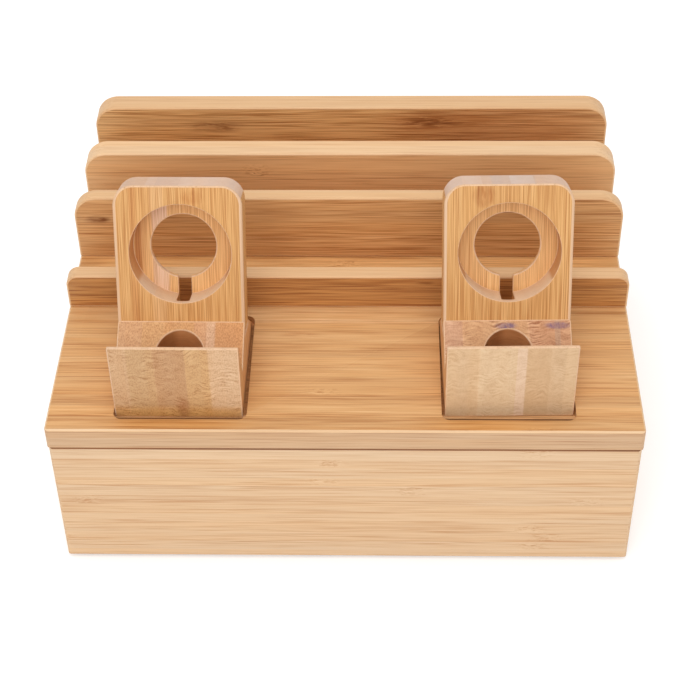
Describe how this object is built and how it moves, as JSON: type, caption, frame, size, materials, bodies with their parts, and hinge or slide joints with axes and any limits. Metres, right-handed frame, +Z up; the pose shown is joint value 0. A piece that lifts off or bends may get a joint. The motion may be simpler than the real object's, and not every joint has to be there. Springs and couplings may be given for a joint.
{
  "type": "charging station organizer",
  "caption": "Bamboo desk organizer: a box with a lift-off lid, upright dividers for devices, and loose stands for a watch and an earbud case.",
  "frame": {"origin": "middle of the plane on which the foot pads rest, under the centre of the lid", "axes": "+Z up, front with the watch stands towards -Y, +X to the right seen from the front"},
  "size_m": [0.27, 0.216, 0.1721],
  "materials": {
    "front_bamboo": "laminated bamboo, sanded, satin lacquer",
    "box_bamboo": "laminated bamboo, sanded, satin lacquer",
    "bottom_bamboo": "laminated bamboo, sanded, satin lacquer",
    "foot_rubber": "matt rubber",
    "lid_bamboo": "laminated bamboo, sanded, satin lacquer",
    "dark_bamboo": "laminated bamboo, sanded, satin lacquer",
    "divider_bamboo": "laminated bamboo, sanded, satin lacquer",
    "end_grain_bamboo": "laminated bamboo, sanded, satin lacquer",
    "plate_bamboo": "laminated bamboo, sanded, satin lacquer",
    "dowel_wood": "laminated bamboo, sanded, satin lacquer"
  },
  "bodies": {
    "box": {"front_panel": "front_bamboo", "back_panel": "box_bamboo", "left_panel": "box_bamboo", "right_panel": "box_bamboo", "bottom_panel": "bottom_bamboo", "front_left_foot": "foot_rubber", "front_right_foot": "foot_rubber", "rear_left_foot": "foot_rubber", "rear_right_foot": "foot_rubber"},
    "lid": {"lid_panel": "lid_bamboo", "left_rail": "box_bamboo", "right_rail": "box_bamboo", "front_divider": "dark_bamboo", "second_divider": "dark_bamboo", "third_divider": "divider_bamboo", "rear_divider": "divider_bamboo"},
    "left_stand": {"left_cradle": "end_grain_bamboo", "left_plate": "plate_bamboo", "left_dowels": "dowel_wood"},
    "right_stand": {"right_cradle": "end_grain_bamboo", "right_plate": "plate_bamboo", "right_dowels": "dowel_wood"}
  },
  "joints": [
    {"name": "lid_lift", "type": "slide", "parent": "box", "child": "lid", "axis": [0, 0, 1], "range_m": [0, 0.12]},
    {"name": "left_stand_lift", "type": "slide", "parent": "lid", "child": "left_stand", "axis": [0, 0, 1], "range_m": [0, 0.08]},
    {"name": "right_stand_lift", "type": "slide", "parent": "lid", "child": "right_stand", "axis": [0, 0, 1], "range_m": [0, 0.08]}
  ]
}
